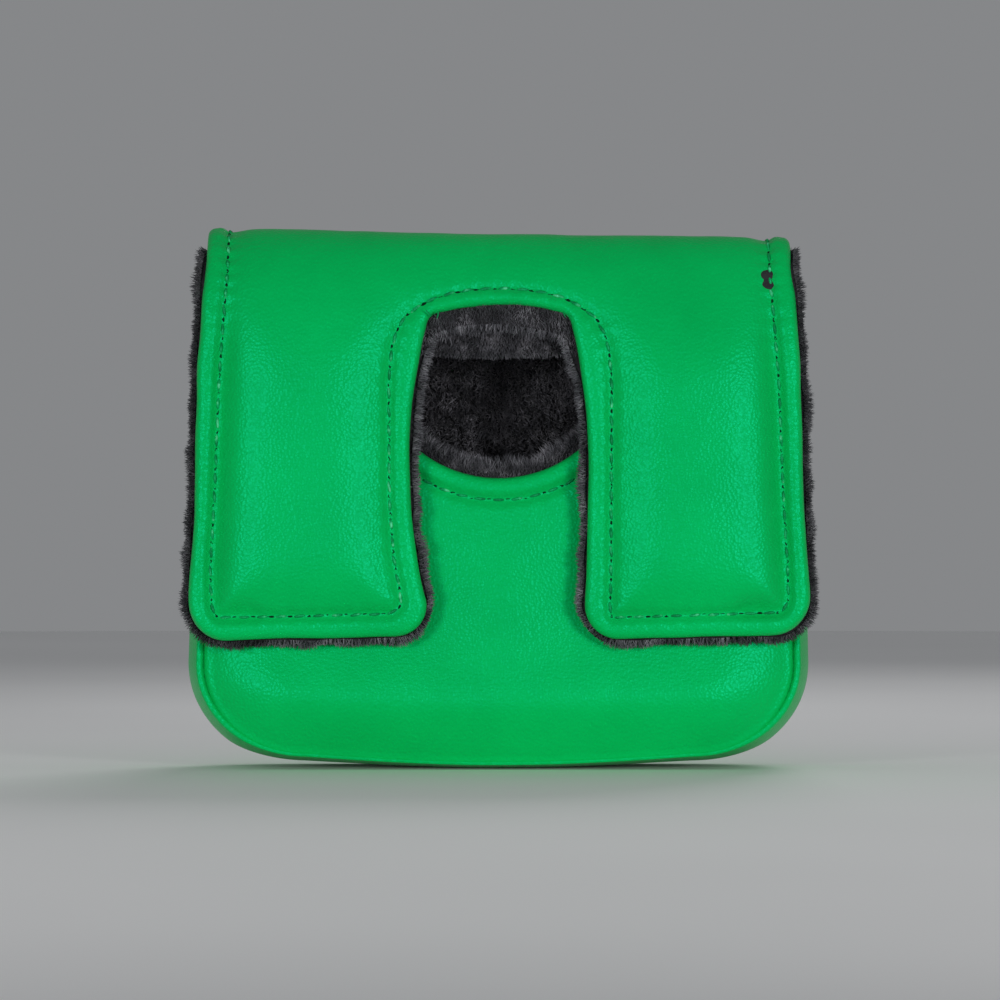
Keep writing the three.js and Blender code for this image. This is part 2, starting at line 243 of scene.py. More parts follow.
class Plane:
    """An upright plane at one depth. side is -1 where it faces the front and +1 where it faces the back."""

    def __init__(self, y, side=-1):
        self.y, self.side = y, side

    def point(self, x, v, h):
        x, v, h = np.broadcast_arrays(np.asarray(x, float), np.asarray(v, float), np.asarray(h, float))
        return np.stack([x, self.y + self.side * h, v], axis=-1)

    def normal(self, x, v):
        x = np.asarray(x, float)
        return np.stack([np.zeros_like(x), np.full_like(x, self.side), np.zeros_like(x)], axis=-1)


LEATHER_WRAP = Wrap(0.0, FOLD)
PLUSH_WRAP = Wrap(6.2, 7.0)
FRONT_PLANE = Plane(FRONT_FACE)


# ---------------------------------------------------------------- meshes

def new_object(name, points, faces, materials, face_materials=None, flat=False):
    """points in millimetres; faces as lists of indices."""
    mesh = bpy.data.meshes.new(name)
    mesh.from_pydata((np.asarray(points) * MM).tolist(), [], [list(map(int, f)) for f in faces])
    for material in materials:
        mesh.materials.append(material)
    if face_materials is not None:
        mesh.polygons.foreach_set("material_index", np.asarray(face_materials, np.int32))
    mesh.polygons.foreach_set("use_smooth", np.full(len(mesh.polygons), not flat))
    mesh.update()
    obj = bpy.data.objects.new(name, mesh)
    bpy.context.scene.collection.objects.link(obj)
    return obj


def hex_grid(low, high, step):
    xs = np.arange(low[0], high[0], step)
    rows = np.arange(low[1], high[1], step * math.sqrt(3) / 2)
    grid = [np.stack([xs + (step / 2 if k % 2 else 0), np.full_like(xs, row)], 1) for k, row in enumerate(rows)]
    return np.concatenate(grid)


def triangulate(polygon, step):
    """The polygon's own points first, then a hexagonal grid inside it, as vertices and triangles."""
    grid = hex_grid(polygon.min(0), polygon.max(0), step)
    grid = grid[inside(grid, polygon)]
    gap, _ = distance_to(grid, np.vstack([polygon, polygon[:1]]))
    points = np.vstack([polygon, grid[gap > step * 0.55]])
    n = len(polygon)
    edges = [(i, (i + 1) % n) for i in range(n)]
    vectors = [Vector(p) for p in points]
    placed, _, faces, *_ = delaunay_2d_cdt(vectors, edges, [list(range(n))], 1, 1e-6)
    result = np.array([tuple(v) for v in placed])
    if len(result) != len(points) or np.abs(result - points).max() > 0.001:
        raise RuntimeError(f"the triangulation moved points: {len(points)} became {len(result)}")
    return points, [tuple(f) for f in faces]


def panel(name, sheet, free_edge, closing, height, materials, grid=GRID, hem=3.5, roll=EDGE_ROLL):
    """A leather panel on a sheet. free_edge is the edge that is rolled under, drawn with the leather on its
    left; closing joins its end to its start where the panel goes on as another piece. height(x, v) stands it
    out."""
    edge = resample(free_edge if len(closing) else [*free_edge, free_edge[0]], grid)
    if not len(closing):
        edge = edge[:-1]
    normals = side_normals(np.vstack([edge[-1:], edge, edge[:1]]))[1:-1]
    if len(closing):
        normals[0], normals[-1] = side_normals(edge[:2])[0], side_normals(edge[-2:])[0]
        normals[[0, -1]] *= [1, 0]
        normals[[0, -1]] /= np.linalg.norm(normals[[0, -1]], axis=1)[:, None]
    inner = edge + normals * roll
    seam = resample([inner[-1], *closing, inner[0]], grid)[1:-1] if len(closing) else np.zeros((0, 2))
    polygon = np.vstack([inner, seam])
    flat, faces = triangulate(polygon, grid)
    tall = height(flat[:, 0], flat[:, 1])
    points = [sheet.point(flat[:, 0], flat[:, 1], tall)]
    count = len(edge)
    ring = np.arange(count)
    level = tall[:count] - roll
    offset = len(flat)
    rings = [(roll * (1 - math.cos(a)), roll * math.sin(a)) for a in np.radians(np.arange(72, -91, -18))]
    rings = rings + [(roll + hem * k / 3, -roll) for k in (1, 2, 3)]
    joined = not len(closing)
    for inset, rise in rings:
        spot = edge + normals * inset
        points.append(sheet.point(spot[:, 0], spot[:, 1], level + rise))
        fresh = np.arange(offset, offset + count)
        last = count if joined else count - 1
        for i in range(last):
            j = (i + 1) % count
            faces.append((ring[i], fresh[i], fresh[j], ring[j]))
        ring = fresh
        offset += count
    points = np.concatenate(points)
    faces = orient(points, faces, sheet, flat)
    return new_object(name, points, faces, materials)


def orient(points, faces, sheet, flat):
    """Turns all faces over where the first faces into the sheet."""
    a, b, c = (points[i] for i in faces[0][:3])
    if np.cross(b - a, c - a) @ sheet.normal(*flat[faces[0][0]]) < 0:
        return [f[::-1] for f in faces]
    return faces


def slab(name, sheet, polygon, low, high, materials, grid=1.6):
    """A closed pad on a sheet between two heights, numbers or functions of (x, v), with a rounded edge."""
    closed = resample([*polygon, polygon[0]], grid)[:-1]
    area = 0.5 * np.sum(closed[:, 0] * np.roll(closed[:, 1], -1) - np.roll(closed[:, 0], -1) * closed[:, 1])
    if area < 0:
        closed = closed[::-1].copy()
    looped = np.vstack([closed[-1:], closed, closed[:1]])
    normals = side_normals(looped)[1:-1]
    flat, faces = triangulate(closed, grid)
    count, total = len(closed), len(flat)
    bottom = low(flat[:, 0], flat[:, 1]) if callable(low) else np.full(total, float(low))
    top = high(flat[:, 0], flat[:, 1]) if callable(high) else np.full(total, float(high))
    middle, half = (top + bottom)[:count] / 2, (top - bottom)[:count] / 2
    points = [sheet.point(flat[:, 0], flat[:, 1], top), sheet.point(flat[:, 0], flat[:, 1], bottom)]
    everything = list(faces) + [tuple(i + total for i in f[::-1]) for f in faces]
    ring, offset = np.arange(count), 2 * total
    for angle in np.radians([60, 30, 0, -30, -60]):
        spot = closed - normals * 0.8 * math.cos(angle)
        points.append(sheet.point(spot[:, 0], spot[:, 1], middle + half * math.sin(angle)))
        fresh = np.arange(offset, offset + count)
        everything += [(ring[i], fresh[i], fresh[(i + 1) % count], ring[(i + 1) % count]) for i in range(count)]
        ring, offset = fresh, offset + count
    last = np.arange(total, total + count)
    everything += [(ring[i], last[i], last[(i + 1) % count], ring[(i + 1) % count]) for i in range(count)]
    points = np.concatenate(points)
    return new_object(name, points, orient(points, everything, sheet, flat), materials)


# ---------------------------------------------------------------- materials

class Finish:
    """One material, with the steps that every finish here repeats. Its textures lie in object coordinates."""

    def __init__(self, name, **shader_values):
        self.material = bpy.data.materials.new(name)
        self.material.use_nodes = True
        self.nodes, self.links = self.material.node_tree.nodes, self.material.node_tree.links
        self.shader = self.nodes["Principled BSDF"]
        self.coords = self.nodes.new("ShaderNodeTexCoord").outputs["Object"]
        for key, value in shader_values.items():
            self.shader.inputs[key.replace("_", " ")].default_value = value

    def texture(self, kind, output, **settings):
        node = self.nodes.new("ShaderNodeTex" + kind)
        for key, value in settings.items():
            node.inputs[key].default_value = value
        self.links.new(self.coords, node.inputs["Vector"])
        return node.outputs[output]

    def colour(self, source, stops):
        """Colours the surface by a texture, through a ramp of (place, colour)."""
        node = self.nodes.new("ShaderNodeValToRGB")
        self.links.new(source, node.inputs[0])
        elements = node.color_ramp.elements
        elements[0].position, elements[0].color = stops[0][0], (*stops[0][1], 1)
        elements[1].position, elements[1].color = stops[-1][0], (*stops[-1][1], 1)
        for place, colour in stops[1:-1]:
            elements.new(place).color = (*colour, 1)
        self.links.new(node.outputs["Color"], self.shader.inputs["Base Color"])

    def bump(self, *layers):
        """Raises the surface by layers of (texture, strength, distance), each on the one before."""
        under = None
        for height, strength, distance in layers:
            node = self.nodes.new("ShaderNodeBump")
            node.inputs["Strength"].default_value = strength
            node.inputs["Distance"].default_value = distance
            self.links.new(height, node.inputs["Height"])
            if under:
                self.links.new(under, node.inputs["Normal"])
            under = node.outputs["Normal"]
        self.links.new(under, self.shader.inputs["Normal"])


def leather_material():
    """Coated leather: a soft satin sheen over a fine pebble grain, slightly uneven in colour."""
    finish = Finish("green_leather", Specular_IOR_Level=0.45, Specular_Tint=(0.02, 1.0, 0.72, 1))
    tone = finish.texture("Noise", "Fac", Scale=38.0, Detail=4.0, Roughness=0.6)
    finish.colour(tone, [(0.3, (0.001, 0.37, 0.07)), (0.5, (0.001, 0.4, 0.077)), (0.72, (0.001, 0.425, 0.084))])
    pebble = finish.texture("Voronoi", "Distance", Scale=1450.0)
    crease = finish.texture("Noise", "Fac", Scale=900.0, Detail=3.0, Roughness=0.6)
    soft = finish.texture("Noise", "Fac", Scale=160.0, Detail=3.0, Roughness=0.55)
    finish.bump((pebble, 0.4, 0.00025), (crease, 0.22, 0.00025), (soft, 0.12, 0.0006))
    gloss = finish.nodes.new("ShaderNodeMapRange")
    gloss.inputs["To Min"].default_value = 0.32
    gloss.inputs["To Max"].default_value = 0.42
    finish.links.new(crease, gloss.inputs["Value"])
    finish.links.new(gloss.outputs["Result"], finish.shader.inputs["Roughness"])
    return finish.material


def thread_material():
    """Bonded thread, with the twist of its plies. Its colour varies at random, and its lightest flecks are
    painted glints.
    """
    finish = Finish("green_thread", Roughness=0.5, Specular_Tint=(0.2, 1.0, 0.7, 1))
    tone_and_glint = finish.texture("Noise", "Fac", Scale=420.0, Detail=2.0)
    # The ramp's top stop is a painted glint on the thread; the lower stops are the thread's own green.
    finish.colour(tone_and_glint, [(0.4, (0.001, 0.19, 0.05)), (0.56, (0.003, 0.34, 0.1)), (0.68, (0.1, 0.66, 0.33))])
    finish.bump((finish.texture("Wave", "Fac", Scale=900.0, Distortion=2.0), 0.5, 0.0001))
    return finish.material


def hole_shade_material():
    finish = Finish("needle_hole_shade", Roughness=0.9, Specular_IOR_Level=0.1)
    shade_mottle = finish.texture("Noise", "Fac", Scale=600.0)
    # Near black: painted shade inside a needle hole, varied a little by the noise.
    finish.colour(shade_mottle, [(0.3, (0.0, 0.012, 0.004)), (0.7, (0.0, 0.03, 0.01))])
    return finish.material


def plush_material():
    """The woven ground under the pile, dark and dull."""
    finish = Finish("plush_ground", Roughness=0.95, Specular_IOR_Level=0.1)
    pile = finish.texture("Noise", "Fac", Scale=1100.0, Detail=3.0)
    tufts = finish.texture("Noise", "Fac", Scale=220.0, Detail=3.0)
    finish.colour(tufts, [(0.35, (0.014, 0.014, 0.016)), (0.65, (0.03, 0.03, 0.033))])
    finish.bump((pile, 0.8, 0.0006), (tufts, 0.6, 0.0012))
    return finish.material


def fibre_material(name, shade):
    """The pile's own fibres, which catch a soft grey light. shade scales their colours: below 1 it makes a
    darker copy, painted shade.
    """
    finish = Finish(name, Roughness=0.6, Specular_IOR_Level=0.25, Sheen_Weight=0.15, Sheen_Roughness=0.4)
    tufts = finish.texture("Noise", "Fac", Scale=260.0, Detail=2.0)
    stops = ((0.32, (0.036, 0.037, 0.044)), (0.5, (0.09, 0.09, 0.103)), (0.68, (0.2, 0.195, 0.218)))
    finish.colour(tufts, [(stop, tuple(shade * part for part in tone)) for stop, tone in stops])
    return finish.material


def foam_material():
    """Open-cell padding foam."""
    finish = Finish("padding_foam", Roughness=0.95)
    cells = finish.texture("Voronoi", "Distance", Scale=900.0)
    finish.colour(cells, [(0.0, (0.02, 0.02, 0.022)), (0.8, (0.055, 0.055, 0.06))])
    finish.bump((cells, 0.8, 0.0005))
    return finish.material


def nickel_material():
    """Nickel plate with the faint scratches of handling."""
    finish = Finish("magnet_nickel", Metallic=1.0, Roughness=0.28)
    scratch = finish.texture("Noise", "Fac", Scale=700.0, Detail=4.0)
    finish.colour(scratch, [(0.3, (0.5, 0.49, 0.47)), (0.7, (0.66, 0.65, 0.63))])
    finish.bump((scratch, 0.1, 0.0001))
    return finish.material


LEATHER = leather_material()
THREAD = thread_material()
HOLE_SHADE = hole_shade_material()
PLUSH = plush_material()
FIBRE = fibre_material("plush_fibres", 1.0)
# A darker copy of the same fibres: painted shade for pile that the side lamps light too brightly.
SHADED_FIBRE = fibre_material("plush_fibres_painted_shade", 0.45)
FOAM = foam_material()
NICKEL = nickel_material()


# ---------------------------------------------------------------- outlines of the cover

def flap_edge(grow=0.0, slot_top=105.2, top=None):
    """The flap's free edge, from its top right corner down and round both legs to its top left corner."""
    g = grow
    right_slot = bezier((19.6 - g, 38.2), (20.3 - g, 58), (21.5 - g, 82), (16.6 - g, 100.2))
    left_slot = bezier((g - 16.2, 100.2), (g - 21.2, 82), (g - 21.4, 58), (g - 16.3, 38.2))
    drop = 105.2 - slot_top
    right_slot, left_slot = (
        [p - [0, drop * smooth((p[1] - 80) / 20)] for p in path] for path in (right_slot, left_slot))
    foot, crown = slot_top - 2.6, slot_top + 0.75
    arch = bezier((16.2 - g, foot), (9, crown), (-9, crown), (g - 15.9, foot))
    low = FLAP_BOTTOM - g
    side = [(66.2, 118), (68.1, 92), (68.5, 75), (68.9, 58), (70.1, 40), (70.3, 37)]
    corners = [(66.0 + g, top, 0)] + [(x + g, z, 0) for x, z in side[:-1] if z < top - 1]
    corners += [(70.4 + g, low + 0.9, 8.5 + g), (19.4 - g, low - 0.3, 7.6 + g)]
    corners += [(x, z, 0) for x, z in right_slot]
    corners += [(16.2 - g, slot_top - 2.2, 3.2)]
    corners += [(x, z, 0) for x, z in arch[6:-6]]
    corners += [(g - 15.9, slot_top - 2.2, 3.2)]
    corners += [(x, z, 0) for x, z in left_slot]
    corners += [(g - 15.7, low + 0.6, 7.4 + g), (-69.9 - g, low - 0.6, 8.5 + g)]
    corners += [(-x - g + 0.3, z, 0) for x, z in side[::-1][1:] if z < top - 1]
    corners += [(-65.8 - g, top, 0)]
    return rounded(corners)


def flap_row(top):
    """The stitched row inside the flap's free edge."""
    low = FLAP_BOTTOM + STITCH_INSET
    arch = bezier((22.5, 101.5), (12.5, 112.2), (-12.0, 112.2), (-22.0, 101.5))
    corners = [(60.9, top, 0), (61.3, 112, 0), (63.2, 88, 0), (64.2, 62, 0), (65.2, 45, 0)]
    corners += [(65.4, low + 0.9, 2.6), (25.1, low - 0.3, 0.8), (25.3, 42, 0), (25.5, 88, 0)]
    corners += [(24.8, 96, 0)] + [(x, z, 0) for x, z in arch] + [(-24.0, 96, 0)]
    corners += [(-24.7, 88, 0), (-24.6, 62, 0), (-23.6, 48, 0)]
    corners += [(-21.2, low + 0.6, 3.2), (-64.6, low - 0.4, 2.4), (-65.0, 45, 0)]
    corners += [(-64.0, 62, 0), (-63.0, 88, 0), (-61.2, 112, 0), (-60.8, top, 0)]
    return rounded(corners)


def pouch_half_width(z, inset=0.0):
    return POUCH_HALF_WIDTH - inset - np.maximum(z - 24.0, 0) * 0.03


def pouch_path(top, inset=0.0, drop=0.0):
    """Down the right side of the pouch, under it and up its left side."""
    rx, rz = 25.4 - inset, 22.0 - inset - drop
    right = [(pouch_half_width(z, inset), z) for z in np.linspace(top, 30, 12)]
    corner = arc(44.0, 24.0, rx, rz, 0, -90)
    base = bezier((44, 24 - rz), (25, inset + drop + 0.55), (12, inset + drop), (0, inset + drop), 10)[1:]
    half = [np.array(p) for p in right] + corner + base
    return half + [p * [-1, 1] for p in half[::-1][1:]]


NECK_RADIUS = 29.0
NECK_Z = 95.2


def neck_edge(radius, top):
    """Along the front panel's top edge from left to right, with the neck scooped out."""
    half = float(pouch_half_width(top, 2.4))
    scoop = arc(0, NECK_Z, radius, radius, 180, 360, 60)
    turn = min(4.0, top - NECK_Z - 0.4)
    corners = [(-half, top, 0), (-radius - 0.4, top, turn), (-radius, NECK_Z, 0)]
    corners += [(x, z, 0) for x, z in scoop[1:-1]]
    corners += [(radius, NECK_Z, 0), (radius + 0.4, top, turn), (half, top, 0)]
    return rounded(corners)


# ---------------------------------------------------------------- heights

def over_top(v):
    """1 on the folds and the top, 0 well down the front and the back."""
    return smooth((v - 84) / 30) * smooth((LEATHER_WRAP.back_v(84) - v) / 30)


def front_fold(v):
    """The fold in front is drawn down to half an ellipse, taller than it is deep."""
    tall = 2.4 * FOLD
    low = tall - FOLD
    below = np.clip((v - LEATHER_WRAP.v1 + low) / tall, 0, low / tall)
    turn = np.clip((v - LEATHER_WRAP.v1) / FOLD, 0, math.pi / 2)
    a = (np.cos(turn) / FOLD) ** 2 + (np.sin(turn) / tall) ** 2
    b = 2 * low * np.sin(turn) / tall ** 2
    c = (low / tall) ** 2 - 1
    past = (-b + np.sqrt(b * b - 4 * a * c)) / (2 * a) - FOLD
    return np.where(v < LEATHER_WRAP.v1, FOLD * (np.sqrt(1 - below ** 2) - 1), past) * (v < FLAP_MIDDLE)


def quilted(edge, row, swell, x, v, padding=False):
    """A welt along the edge, a valley along the stitched row and a soft pillow inside it.
    The leather is drawn tight over the top, which leans a little to the right. The padding has no valley."""
    points = np.stack([x, v], 1)
    from_edge, _ = distance_to(points, edge)
    from_row, along = distance_to(points, row)
    within = inside(points, row)
    tight = over_top(v)
    swell = swell * (1 - 0.82 * tight)
    lean = tight * (0.15 - 0.016 * x + 0.00018 * x * x)
    lean = lean + front_fold(v)
    pillow = swell * (1 - np.exp(-(soft_distance(points, row) / 6.5) ** 1.5))
    if padding:
        return -2.2 + lean + 0.85 * pillow * within
    pucker = 0.2 * np.cos(2 * np.pi * along / PITCH) * np.exp(-(from_row / 2.2) ** 2)
    pucker *= smooth(np.abs(v - LEATHER_WRAP.middle) / 6)
    side = smooth((np.abs(x) - 50) / 8)
    reach = np.where(within, 1.2 + 1.9 * side, 1.1)
    dip = (1.0 + 0.8 * side) * (1 - 0.55 * tight) * np.exp(-(from_row / reach) ** 2)
    welt = 0.3 * np.sin(np.pi * np.clip((from_edge - 1.0) / 4.0, 0, 1))
    ripple = 0.22 * waves(x, v, 17.0, 3.1) + 0.10 * waves(x, v, 6.0, 8.4)
    return lean - 0.2 - dip + pucker + np.where(within, pillow + ripple * smooth(from_row / 8), welt)


FLAP_MIDDLE = LEATHER_WRAP.middle
FLAP_EDGE = wavy(flap_edge(top=FLAP_MIDDLE), 0.32, 11.0)
FLAP_ROW = np.array(flap_row(top=FLAP_MIDDLE))


def extended(path, v):
    """A path with its two ends carried straight on to v."""
    return np.vstack([[path[0][0], v], path, [path[-1][0], v]])


FLAP_EDGE_PAST = extended(FLAP_EDGE, FLAP_MIDDLE + 40)
FLAP_ROW_PAST = extended(FLAP_ROW, FLAP_MIDDLE + 40)


def flap_height(x, v, padding=False):
    return quilted(FLAP_EDGE_PAST, FLAP_ROW_PAST, 3.4, x, v, padding)


def back_row_path():
    path = [(60.9, FLAP_MIDDLE - 40), (60.9, LEATHER_WRAP.v3), (61.5, LEATHER_WRAP.v4)]
    down = [(x, LEATHER_WRAP.back_v(z)) for x, z in pouch_path(100, STITCH_INSET)]
    back = [(-61.5, LEATHER_WRAP.v4), (-60.8, LEATHER_WRAP.v3), (-60.8, FLAP_MIDDLE - 40)]
    return resample(path + down + back, 1.0)


def back_edge_path(start):
    path = [(66.0, start), (66.0, LEATHER_WRAP.v3), (66.4, LEATHER_WRAP.v4)]
    down = [(x, LEATHER_WRAP.back_v(z)) for x, z in pouch_path(100)]
    return path + down + [(-66.4, LEATHER_WRAP.v4), (-65.8, LEATHER_WRAP.v3), (-65.8, start)]


BACK_ROW = back_row_path()
BACK_EDGE_PAST = resample(back_edge_path(FLAP_MIDDLE - 40), 1.0)


def back_height(x, v, padding=False):
    return quilted(BACK_EDGE_PAST, BACK_ROW, 3.4, x, v, padding)


NECK_EDGE = np.array(neck_edge(NECK_RADIUS, PANEL_TOP))
NECK_ROW = resample(
    [(-58, PANEL_TOP - 5), (-38, PANEL_TOP - 5)]
    + arc(0, NECK_Z, NECK_RADIUS + 5, NECK_RADIUS + 5, 184, 356, 60)
    + [(38, PANEL_TOP - 5), (58, PANEL_TOP - 5)], 0.8)
PANEL_SIDE = np.array(pouch_path(PANEL_TOP, 2.4, -1.5))


def front_height(x, v, padding=False):
    """Pillowed inside the seam, and bulging where the flap leaves it free."""
    points = np.stack([x, v], 1)
    from_side, _ = distance_to(points, PANEL_SIDE)
    from_neck, _ = distance_to(points, NECK_EDGE)
    from_row, along = distance_to(points, NECK_ROW)
    shoulder = -3.6 * np.exp(-(from_side / 5.0) ** 1.25)
    dip = 1.0 * np.exp(-(from_row / 1.15) ** 2)
    pucker = 0.13 * np.cos(2 * np.pi * along / PITCH) * np.exp(-(from_row / 1.7) ** 2)
    welt = 0.3 * np.sin(np.pi * np.clip((from_neck - 1.0) / 4.0, 0, 1))
    belly = 2.6 * np.exp(-((v - 14) / 11.5) ** 2) * smooth(from_side / 16)
    between = 0.9 * np.exp(-(x / 13) ** 2) * smooth((v - 20) / 12) * smooth((62 - v) / 14)
    if padding:
        return shoulder + belly + between - 2.0
    ripple = 0.22 * waves(x, v, 19.0, 5.7) * smooth(from_side / 10)
    return shoulder - dip + pucker + welt + belly + between + ripple - 0.2


# ---------------------------------------------------------------- stitching

def stitches(name, path, sheet, height, pitch=PITCH, thick=0.33, sink=0.16, holes=True):
    """Separate stitches along a path, each arched out of the leather between two needle holes."""
    path = resample(path, 0.25)
    along = np.concatenate([[0], np.cumsum(np.linalg.norm(np.diff(path, axis=0), axis=1))])
    count = max(1, int(along[-1] / pitch))
    lead = (along[-1] - count * pitch) / 2
    sides, steps = 7, 8

    def at(length):
        return np.stack([np.interp(length, along, path[:, k]) for k in range(2)], -1)

    def turned(direction):
        direction = direction / np.maximum(np.linalg.norm(direction, axis=1), 1e-6)[:, None]
        return direction, np.stack([-direction[:, 1], direction[:, 0]], -1)

    start = np.arange(count) * pitch + lead
    a, b = at(start + STITCH_END), at(start + pitch - STITCH_END)
    _, across = turned(b - a)
    lean = (0.14 + rng.normal(0, 0.09, count))[:, None] * across
    a, b = a - lean, b + lean
    t = np.linspace(0, 1, steps + 1)
    core = a[:, None] + (b - a)[:, None] * t[None, :, None]
    base = height(core[..., 0].ravel(), core[..., 1].ravel()).reshape(core.shape[:2])
    middle = sheet.point(core[..., 0], core[..., 1], base + 0.4 * np.sin(np.pi * t) ** 0.6 - sink)
    out = sheet.normal(core[..., 0], core[..., 1])
    run = np.gradient(middle, axis=1)
    run /= np.linalg.norm(run, axis=2)[..., None]
    wide = np.cross(run, out)
    wide /= np.linalg.norm(wide, axis=2)[..., None]
    up = np.cross(wide, run)
    radius = thick * np.clip(np.sin(np.pi * np.clip(t, 0.02, 0.98)) ** 0.35, 0.2, 1)
    spin = 2 * np.pi * np.arange(sides) / sides
    spoke = wide[:, :, None] * np.cos(spin)[:, None] + up[:, :, None] * np.sin(spin)[:, None]
    points = [(middle[:, :, None] + spoke * radius[:, None, None]).reshape(-1, 3)]
    faces = []
    for i in range(count):
        first = i * (steps + 1) * sides
        for k in range(steps):
            for j in range(sides):
                n = (j + 1) % sides
                ring = first + k * sides
                faces.append((ring + j, ring + n, ring + sides + n, ring + sides + j))
        faces.append(tuple(range(first + sides - 1, first - 1, -1)))
        faces.append(tuple(first + steps * sides + j for j in range(sides)))
    slots = [0] * len(faces)
    if not holes:
        return new_object(name, points[0], faces, [THREAD], slots)
    # A needle hole is an oval at each end of a stitch, sunk into the leather at its rim and coloured near
    # black: painted shade of the hole.
    place = np.clip(np.arange(count + 1) * pitch + lead, 0.01, along[-1] - 0.6)
    spot = at(place)
    direction, across = turned(at(place + 0.5) - spot)
    spin = 2 * np.pi * np.arange(10) / 10
    oval = direction[:, None] * np.cos(spin)[:, None] * HOLE_LENGTH
    oval = oval + across[:, None] * np.sin(spin)[:, None] * HOLE_WIDTH
    levels = [np.zeros_like(oval[:, :1]), oval * 0.55, oval]
    flat = spot[:, None] + np.concatenate(levels, 1)
    level = height(flat[..., 0].ravel(), flat[..., 1].ravel()).reshape(flat.shape[:2])
    lift = np.array([0.1] + [0.1] * 10 + [-0.06] * 10)
    total = len(points[0])
    points.append(sheet.point(flat[..., 0], flat[..., 1], level + lift).reshape(-1, 3))
    for i in range(count + 1):
        first = total + i * 21
        for j in range(10):
            n = (j + 1) % 10
            faces.append((first, first + 1 + j, first + 1 + n))
            faces.append((first + 1 + j, first + 11 + j, first + 11 + n, first + 1 + n))
            slots += [1, 1]
    return new_object(name, np.concatenate(points), faces, [THREAD, HOLE_SHADE], slots)


# ---------------------------------------------------------------- pile

def strands(name, roots, leans, lengths, width=0.32, curl=0.35, material=None):
    """One tapered fibre tuft for each root, bent a little on its way out."""
    roots, leans = np.asarray(roots), np.asarray(leans)
    count = len(roots)
    lengths = np.asarray(lengths)
    direction = leans / np.linalg.norm(leans, axis=1)[:, None]
    bend = rng.normal(0, 1, (count, 3))
    bend -= (bend * direction).sum(1)[:, None] * direction
    bend /= np.linalg.norm(bend, axis=1)[:, None]
    across = np.cross(direction, bend)
    spin = rng.uniform(0, 2 * np.pi, count)[:, None]
    flat = across * np.cos(spin) + bend * np.sin(spin)
    size = (width * rng.uniform(0.7, 1.3, count))[:, None]
    curled = (curl * rng.uniform(0.2, 1.0, count))[:, None]
    levels = []
    for t, share in ((0.0, 1.0), (0.4, 0.9), (0.75, 0.6)):
        spine = roots + direction * (lengths * t)[:, None] + bend * curled * (lengths * t * t)[:, None]
        levels += [spine - flat * size * share / 2, spine + flat * size * share / 2]
    tip = roots + direction * lengths[:, None] + bend * curled * lengths[:, None]
    levels.append(tip)
    points = np.stack(levels, 1).reshape(-1, 3)
    base = np.arange(count)[:, None] * 7
    quads = np.concatenate([base + [0, 1, 3, 2], base + [2, 3, 5, 4]])
    tris = base + [4, 5, 6]
    return new_object(name, points, [*quads.tolist(), *tris.tolist()], [material or FIBRE])


def scatter(polygon, density):
    """Random points inside a polygon, density of them for each square millimetre."""
    low, high = polygon.min(0), polygon.max(0)
    count = int(density * np.prod(high - low))
    points = rng.uniform(low, high, (count, 2))
    return points[inside(points, polygon)]


def pile_on(sheet, polygon, density, height, side, length, comb=(0, 0), spread=0.35, keep=None):
    """Roots, leans and lengths of pile that stands on one face of a sheet."""
    flat = scatter(polygon, density)
    if keep is not None:
        flat = flat[keep(flat[:, 0], flat[:, 1])]
    root = sheet.point(flat[:, 0], flat[:, 1], height)
    normal = sheet.normal(flat[:, 0], flat[:, 1]) * side
    right = sheet.point(flat[:, 0] + 0.5, flat[:, 1], height) - root
    up = sheet.point(flat[:, 0], flat[:, 1] + 0.5, height) - root
    clump = waves(flat[:, 0], flat[:, 1], 3.5, 1.7)[:, None]
    clump2 = waves(flat[:, 0], flat[:, 1], 3.5, 9.2)[:, None]
    lean = normal + right * (2 * comb[0] + 1.1 * clump) + up * (2 * comb[1] + 1.1 * clump2)
    lean += rng.normal(0, spread, lean.shape)
    return root, lean, length * rng.uniform(0.75, 1.2, len(flat))


def pile_along(sheet, path, step, low, high, length, outward=1.0, lift=0.35, spread=0.3, ragged=0.4,
               wander=0.0):
    """Pile that stands out of the edge of a lining, along a path with the lining on its left."""
    path = resample(path, step)
    normals = -side_normals(path)
    count = len(path)
    path = path + normals * (wander * waves(path[:, 0], path[:, 1], 8.0, 6.6))[:, None]
    level = rng.uniform(low, high, count)
    root = sheet.point(path[:, 0] - normals[:, 0] * 0.5, path[:, 1] - normals[:, 1] * 0.5, level)
    ahead = sheet.point(path[:, 0] + normals[:, 0] * 0.5, path[:, 1] + normals[:, 1] * 0.5, level)
    out = ahead - root
    out /= np.linalg.norm(out, axis=1)[:, None]
    face = sheet.normal(path[:, 0], path[:, 1])
    middle, half = (low + high) / 2, (high - low) / 2
    tilt = ((level - middle) / half)[:, None]
    clump = waves(path[:, 0], path[:, 1], 4.0, 4.4)
    lean = out * outward + face * tilt * lift + rng.normal(0, spread, out.shape)
    size = length * (1 + ragged * clump) * rng.uniform(0.7, 1.25, count)
    return root, lean, size


def gather(name, parts, **options):
    roots, leans, lengths = (np.concatenate(group) for group in zip(*parts))
    return strands(name, roots, leans, lengths, **options)


# ---------------------------------------------------------------- leather

def declare(piece, slot, nodes, ride=None, blend=None, fill=None):
    """Hides the CAD nodes that a piece stands for, and hangs the piece on the body it rides with or else bakes
    its place into its mesh. Its finish, slot, is not used.
    """
    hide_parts(*nodes)
    if ride:
        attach(piece, ride)
    else:
        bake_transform(piece)
    return piece


def millimetres(y, z):
    return (0.0, y * MM, z * MM)


BACK_FOLD = ("pouch", "flap_top", millimetres(HALF_DEPTH, TOP - FOLD), millimetres(HALF_DEPTH - FOLD, TOP))
FRONT_FOLD = (
    "flap_top", "flap_front", millimetres(FOLD - HALF_DEPTH, TOP), millimetres(-HALF_DEPTH, TOP - FOLD))
TOP_CLOSING = [(0.0, FLAP_MIDDLE)]

